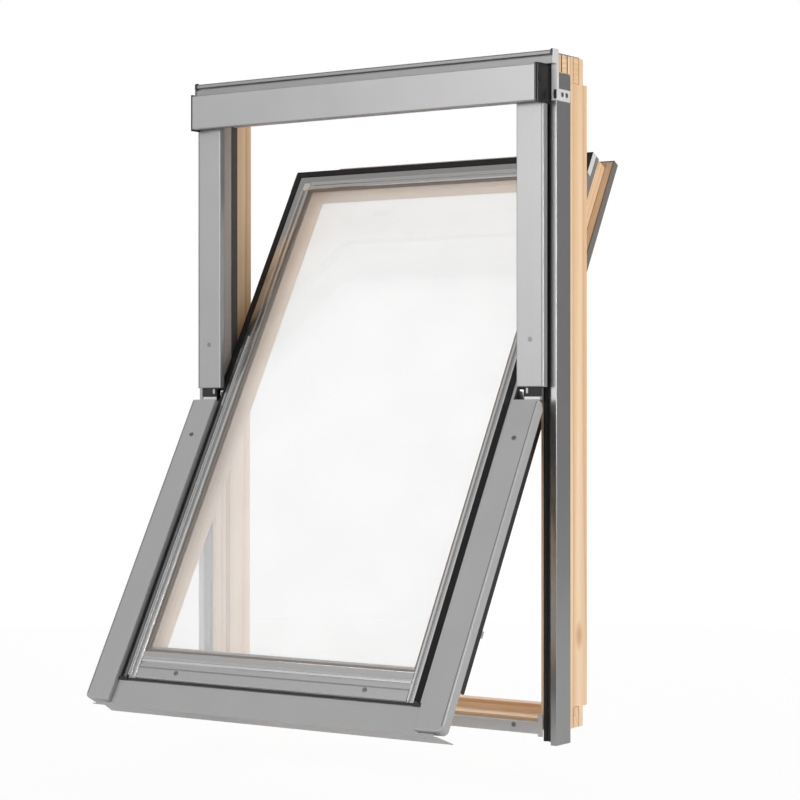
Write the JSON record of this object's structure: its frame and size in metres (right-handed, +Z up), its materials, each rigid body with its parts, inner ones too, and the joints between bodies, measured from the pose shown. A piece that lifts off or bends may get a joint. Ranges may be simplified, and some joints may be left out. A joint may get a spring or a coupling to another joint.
{
  "type": "roof window",
  "caption": "Centre-pivot pine roof window with grey aluminium covers, its sash swung open in its frame.",
  "frame": {"origin": "middle of the frame's underside, at half the depth of the wood", "axes": "+Z up along the frame, +X to the right seen from outside, +Y into the room"},
  "size_m": [0.7836, 0.6327, 1.1765],
  "materials": {
    "pine": "satin lacquer",
    "stop_paint": "matt",
    "cover_metal": "satin",
    "cladding_metal": "satin",
    "bead_metal": "satin anodised",
    "tab_metal": "satin",
    "black_rubber": "matt",
    "grey_rubber": "matt",
    "black_plastic": "matt",
    "white_plastic": "matt",
    "grey_plastic": "matt",
    "clear_glass": "clear",
    "spacer_metal": "satin",
    "zinc_steel": "zinc plated",
    "screw_steel": "bright",
    "handle_metal": "satin anodised"
  },
  "bodies": {
    "frame": {"bolt_bush": "black_plastic", "bottom_cladding": "cladding_metal", "corner_tab_left": "tab_metal", "corner_tab_right": "tab_metal", "frame_bottom_rail": "pine", "frame_head_rail": "pine", "frame_hinge_plate_left": "zinc_steel", "frame_hinge_plate_right": "zinc_steel", "frame_screws": "screw_steel", "frame_stile_left": "pine", "frame_stile_right": "pine", "front_gasket_left": "black_rubber", "front_gasket_right": "black_rubber", "head_cover": "cover_metal", "head_end_cap_left": "black_plastic", "head_end_cap_right": "black_plastic", "head_lip": "cover_metal", "head_lip_plug_left": "black_plastic", "head_lip_plug_right": "black_plastic", "head_stop": "stop_paint", "side_cladding_left": "cladding_metal", "side_cladding_right": "cladding_metal", "striker_plate": "zinc_steel", "upper_frame_gasket": "black_rubber", "upper_side_cover_left": "cover_metal", "upper_side_cover_right": "cover_metal", "upper_stop_left": "stop_paint", "upper_stop_right": "stop_paint"},
    "sash": {"barrel_bolt_housing": "handle_metal", "bead_corner_left": "white_plastic", "bead_corner_right": "white_plastic", "bottom_cover": "cover_metal", "cover_carrier_left": "grey_plastic", "cover_carrier_right": "grey_plastic", "glazing_bead_bottom": "bead_metal", "glazing_bead_left": "bead_metal", "glazing_bead_right": "bead_metal", "glazing_bead_top": "bead_metal", "glazing_gasket": "black_rubber", "handle_rose": "handle_metal", "inner_pane": "clear_glass", "lower_rim_seal_left": "black_rubber", "lower_rim_seal_right": "black_rubber", "lower_side_cover_left": "cover_metal", "lower_side_cover_right": "cover_metal", "outer_pane": "clear_glass", "rim_gasket": "black_rubber", "sash_bottom_rail": "pine", "sash_head_rail": "pine", "sash_hinge_plate_left": "zinc_steel", "sash_hinge_plate_right": "zinc_steel", "sash_screws": "screw_steel", "sash_stile_left": "pine", "sash_stile_right": "pine", "sash_top_bar": "stop_paint", "spacer_bar": "spacer_metal", "upper_rim_seal": "grey_rubber"},
    "handle": {"handle_lever": "handle_metal"},
    "lock_bolt": {"lock_bolt": "zinc_steel"},
    "barrel_bolt": {"barrel_bolt_pin": "handle_metal"}
  },
  "joints": [
    {"name": "sash_pivot", "type": "hinge", "parent": "frame", "child": "sash", "pos_m": [0, -0.022, 0.5725], "axis": [-1, 0, 0], "range_deg": [-29.5, 42]},
    {"name": "handle_turn", "type": "hinge", "parent": "sash", "child": "handle", "pos_m": [0, -0.26039, 0.10647], "axis": [0, -0.8704, 0.4924], "range_deg": [0, 90]},
    {"name": "lock_bolt_slide", "type": "slide", "parent": "sash", "child": "lock_bolt", "axis": [0, -0.4924, -0.8704], "range_m": [0, 0.01]},
    {"name": "barrel_bolt_slide", "type": "slide", "parent": "sash", "child": "barrel_bolt", "axis": [1, 0, 0], "range_m": [0, 0.015]}
  ],
  "couplings": [
    {"joint": "lock_bolt_slide", "follows": "handle_turn", "m_per_rad": 0.006366}
  ]
}
